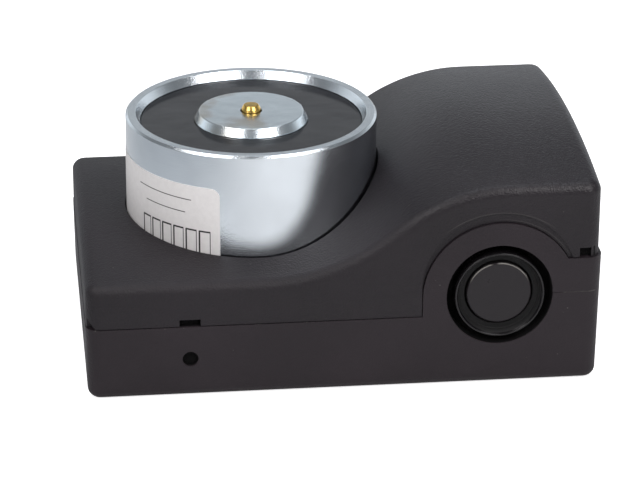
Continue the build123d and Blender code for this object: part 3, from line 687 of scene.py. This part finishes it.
def wound_spring(name, coil, ends, axis, node):
    """A round wire wound about an axis.

    The wire's centre is origin + r (u cos t + v sin t) + h w, where h rises evenly with
    t. About it the surface stands off by half the wire along n cos s + b sin s, with n
    the way out from the axis and b square to n and to the wire. ends are its two ends along w.
    """
    origin, u, v, w = (np.array(vector, float) for vector in axis)
    radius, wire, turns = coil
    moving, fixed = ends
    length = abs(fixed - moving)
    t = np.linspace(0.0, 2.0 * np.pi * turns, STEPS_A_TURN * turns + 1)[:, None]
    rise = (length - wire) / t[-1]
    out = np.cos(t) * u + np.sin(t) * v
    centre = origin + radius * out + (min(ends) + wire / 2 + rise * t) * w
    along = radius * (np.cos(t) * v - np.sin(t) * u) + rise * w
    along /= np.linalg.norm(along, axis=1, keepdims=True)
    aside = np.cross(along, out)
    s = np.linspace(0.0, 2.0 * np.pi, WIRE_SIDES, endpoint=False)[:, None, None]
    normals = np.cos(s) * out + np.sin(s) * aside
    rows = centre + wire / 2 * normals
    caps = np.ones((WIRE_SIDES, 1, 1))
    rows = np.concatenate((caps * centre[0], rows, caps * centre[-1]), axis=1)
    normals = np.concatenate((-caps * along[0], normals, caps * along[-1]), axis=1)
    slot = "spring_steel"
    piece = surface(name, rows, normals, node, FINISHES[slot], "housing", capped=True)
    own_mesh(piece)


wound_spring(
    "wound_ejector_spring", EJECTOR_SPRING,
    (COLLAR_Z - COLLAR_HEIGHT - FIT_GAP, PLUG_TOP + FIT_GAP),
    MAGNET_AXIS, "ejector_spring",
)
wound_spring(
    "wound_button_spring", BUTTON_SPRING, BUTTON_SPRING_ENDS,
    SWITCH_AXIS, "button_spring",
)


# Camera: fitted to the photograph's outline

TARGET = np.array([-1.162, 0.0, 18.738]) * MM
AZIMUTH = math.radians(-6.513)
ELEVATION = math.radians(23.471)
ROLL = math.radians(0.317)
DISTANCE = 670.636 * MM
LENS = 168.66


def look(target, azimuth, elevation, roll, distance):
    """Matrix of a camera that stands off the target and looks at it."""
    flat = math.cos(elevation)
    back = np.array([math.sin(azimuth) * flat, -math.cos(azimuth) * flat, math.sin(elevation)])
    right = np.array([math.cos(azimuth), math.sin(azimuth), 0.0])
    up = np.cross(back, right)
    turned_right = math.cos(roll) * right + math.sin(roll) * up
    turned_up = -math.sin(roll) * right + math.cos(roll) * up
    place = np.eye(4)
    place[:3] = np.column_stack((turned_right, turned_up, back, target + distance * back))
    return Matrix(place.tolist())


lens = bpy.data.cameras.new("photo camera")
lens.lens = LENS
lens.sensor_width = 36.0
lens.clip_start = 0.01
lens.clip_end = 20.0
camera = bpy.data.objects.new("photo camera", lens)
bpy.context.scene.collection.objects.link(camera)
camera.matrix_world = look(TARGET, AZIMUTH, ELEVATION, ROLL, DISTANCE)
bpy.context.scene.camera = camera


# Light and surroundings

AIM = np.array([-5.0, 0.0, 35.0])
LAMP_WHITE = (1.0, 0.975, 0.98)
LAMP_COOL = (0.9, 0.95, 1.0)


def softbox(name, azimuth, elevation, roll, distance, width, height, power, colour):
    """A rectangular lamp facing the part: angles in degrees, lengths in mm, power in watts."""
    lamp = bpy.data.lights.new(name, "AREA")
    lamp.shape = "RECTANGLE"
    lamp.size = width * MM
    lamp.size_y = height * MM
    lamp.energy = power
    lamp.color = colour
    holder = bpy.data.objects.new(name, lamp)
    bpy.context.scene.collection.objects.link(holder)
    angles = (math.radians(angle) for angle in (azimuth, elevation, roll))
    holder.matrix_world = look(AIM * MM, *angles, distance * MM)


softbox("left softbox", -50.0, 45.0, 30.0, 800.0, 400.0, 620.0, 3.5, LAMP_WHITE)
softbox("right softbox", 37.0, 45.0, -30.0, 800.0, 400.0, 620.0, 4.1, LAMP_WHITE)
softbox("top softbox", 175.0, 72.0, 0.0, 900.0, 600.0, 420.0, 2.2, LAMP_COOL)

ROOM = 0.21
ROOM_TINT = (0.90, 0.95, 1.0, 1.0)
# Directions between which the backdrop fades in for reflections: behind the part, and low
BACKDROP_Y = (-0.15, 0.45)
BACKDROP_Z = (0.52, 0.10)
FLOOR_WHITE = (0.80, 0.80, 0.80)
FLOOR_GREY = (0.36, 0.38, 0.40)
FLOOR_LIFT = 0.75
GREY_FADE = (-200.0, 20.0)


def white_room():
    """World that lights softly, with a white backdrop for the camera and for reflections."""
    world = bpy.data.worlds.new("studio")
    bpy.context.scene.world = world
    world.use_nodes = True
    tree = world.node_tree

    def add(kind, settings, inputs):
        node = tree.nodes.new(kind)
        for key, value in settings.items():
            setattr(node, key, value)
        for key, value in inputs.items():
            if isinstance(value, bpy.types.NodeSocket):
                tree.links.new(value, node.inputs[key])
            else:
                node.inputs[key].default_value = value
        return node.outputs

    def math_node(operation, first, second):
        return add("ShaderNodeMath", {"operation": operation}, {0: first, 1: second})[0]

    def step(value, start, end):
        settings = {"interpolation_type": "SMOOTHSTEP"}
        return add("ShaderNodeMapRange", settings, {0: value, 1: start, 2: end})[0]

    ray = add("ShaderNodeLightPath", {}, {})
    seen = math_node("MAXIMUM", ray["Is Camera Ray"], ray["Is Transmission Ray"])
    place = add("ShaderNodeTexCoord", {}, {})["Generated"]
    axes = add("ShaderNodeSeparateXYZ", {}, {0: place})
    backdrop = math_node("MULTIPLY", step(axes["Y"], *BACKDROP_Y), step(axes["Z"], *BACKDROP_Z))
    white = math_node("MAXIMUM", seen, math_node("MULTIPLY", backdrop, ray["Is Glossy Ray"]))
    level = add("ShaderNodeMapRange", {}, {0: white, 3: ROOM, 4: 1.0})[0]
    tints = {0: seen, 6: ROOM_TINT, 7: (1.0, 1.0, 1.0, 1.0)}
    cool = add("ShaderNodeMix", {"data_type": "RGBA"}, tints)
    background = tree.nodes["Background"]
    tree.links.new(cool[2], background.inputs["Color"])
    tree.links.new(level, background.inputs["Strength"])


white_room()


def floor_finish():
    """White floor with its shadow, lifted to white for the camera.

    Reflections see it plain, and grey at the left, where the photo's pot is darker.
    """
    finish = Finish("studio floor", Roughness=1.0, Specular_IOR_Level=0.0)
    ray = finish.add("ShaderNodeLightPath")
    outs = ray.socket.node.outputs
    seen = Value(finish, outs["Is Camera Ray"]).high(Value(finish, outs["Is Transmission Ray"]))
    x = finish.axes()[0]
    mirrored = Value(finish, outs["Is Glossy Ray"])
    albedo = finish.mix(mirrored * (1.0 - beyond(x, *GREY_FADE)), FLOOR_WHITE, FLOOR_GREY)
    lift = finish.mix(seen * FLOOR_LIFT, (0.0, 0.0, 0.0), (1.0, 1.0, 1.0))
    finish.shade(Base_Color=albedo, Emission_Color=lift)
    finish.shader.inputs["Emission Strength"].default_value = 1.0
    return finish.material


span = 4.0
corners = [(-span, -span, 0.0), (span, -span, 0.0), (span, span, 0.0), (-span, span, 0.0)]
floor_mesh = bpy.data.meshes.new("floor")
floor_mesh.from_pydata(corners, [], [(0, 1, 2, 3)])
floor_mesh.materials.append(floor_finish())
floor = bpy.data.objects.new("floor", floor_mesh)
bpy.context.scene.collection.objects.link(floor)

bpy.context.scene.view_settings.view_transform = "Standard"
